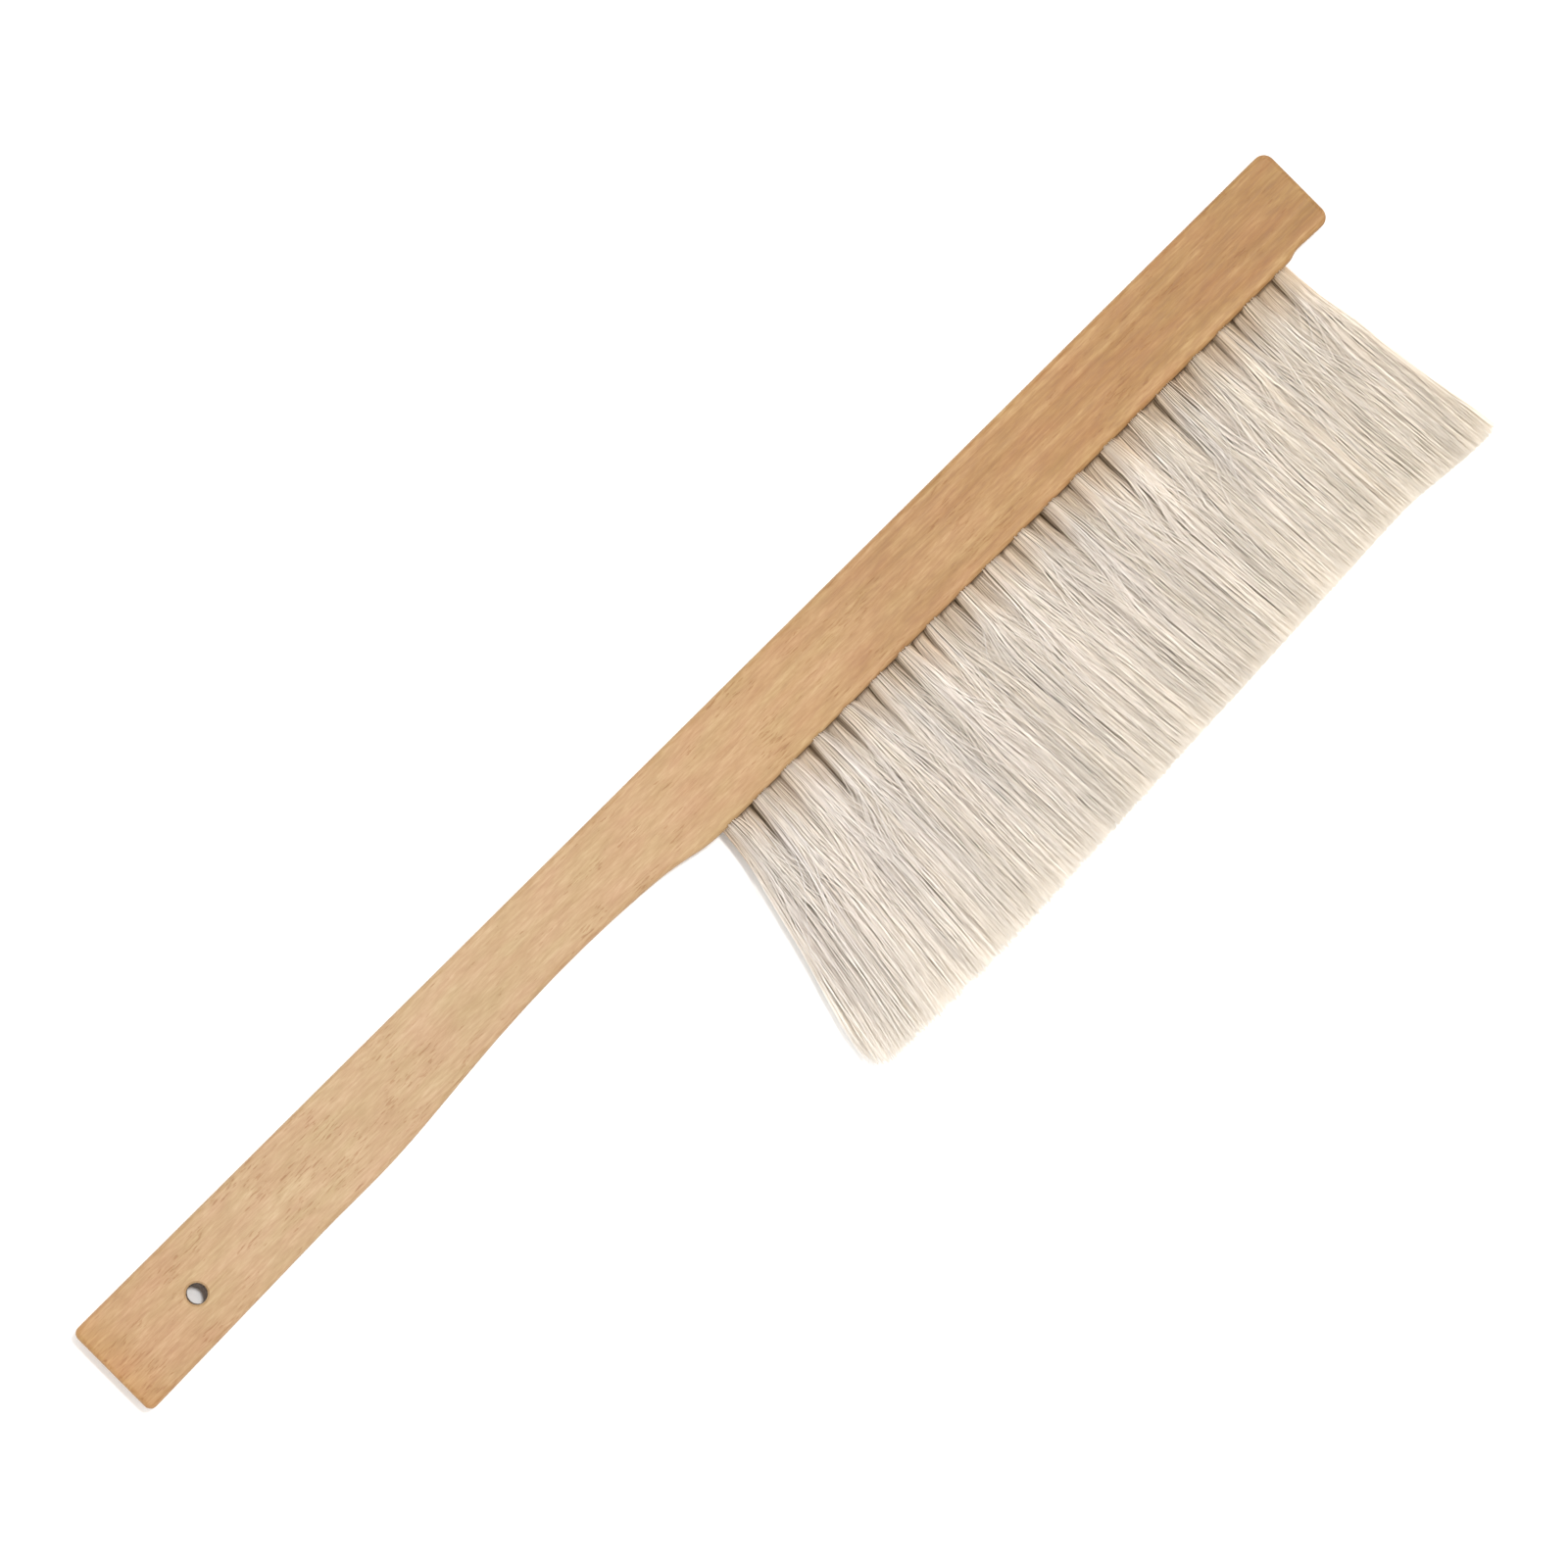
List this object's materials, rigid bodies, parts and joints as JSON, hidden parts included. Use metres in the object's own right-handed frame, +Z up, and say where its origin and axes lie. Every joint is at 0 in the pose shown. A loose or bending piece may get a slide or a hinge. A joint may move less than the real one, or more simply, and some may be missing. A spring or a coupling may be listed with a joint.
{
  "type": "bee brush",
  "caption": "Long flat wooden brush with a waisted handle and a drilled hanging hole; pale soft hair tufts in two staggered rows stand along one edge of its straight head.",
  "frame": {"origin": "middle of the bounding box, at the level of the flat underside that the brush lies on", "axes": "+X from the butt of the handle to the nose of the head, -Y the way the hair points, +Z up, square to the flat side"},
  "size_m": [0.41, 0.0936, 0.014],
  "materials": {
    "stock_wood": "sanded, unvarnished pale wood",
    "hair": "soft bleached hair",
    "staple_wire": "plain drawn steel wire"
  },
  "bodies": {
    "root": {"handle_stock": "stock_wood", "tuft_front_01": "hair", "tuft_front_02": "hair", "tuft_front_03": "hair", "tuft_front_04": "hair", "tuft_front_05": "hair", "tuft_front_06": "hair", "tuft_front_07": "hair", "tuft_front_08": "hair", "tuft_front_09": "hair", "tuft_front_10": "hair", "tuft_front_11": "hair", "tuft_front_12": "hair", "tuft_front_13": "hair", "tuft_front_14": "hair", "tuft_front_15": "hair", "tuft_front_16": "hair", "tuft_front_17": "hair", "tuft_front_18": "hair", "tuft_front_19": "hair", "tuft_front_20": "hair", "tuft_back_01": "hair", "tuft_back_02": "hair", "tuft_back_03": "hair", "tuft_back_04": "hair", "tuft_back_05": "hair", "tuft_back_06": "hair", "tuft_back_07": "hair", "tuft_back_08": "hair", "tuft_back_09": "hair", "tuft_back_10": "hair", "tuft_back_11": "hair", "tuft_back_12": "hair", "tuft_back_13": "hair", "tuft_back_14": "hair", "tuft_back_15": "hair", "tuft_back_16": "hair", "tuft_back_17": "hair", "tuft_back_18": "hair", "tuft_back_19": "hair", "staples_front_row": "staple_wire", "staples_back_row": "staple_wire"}
  },
  "joints": []
}
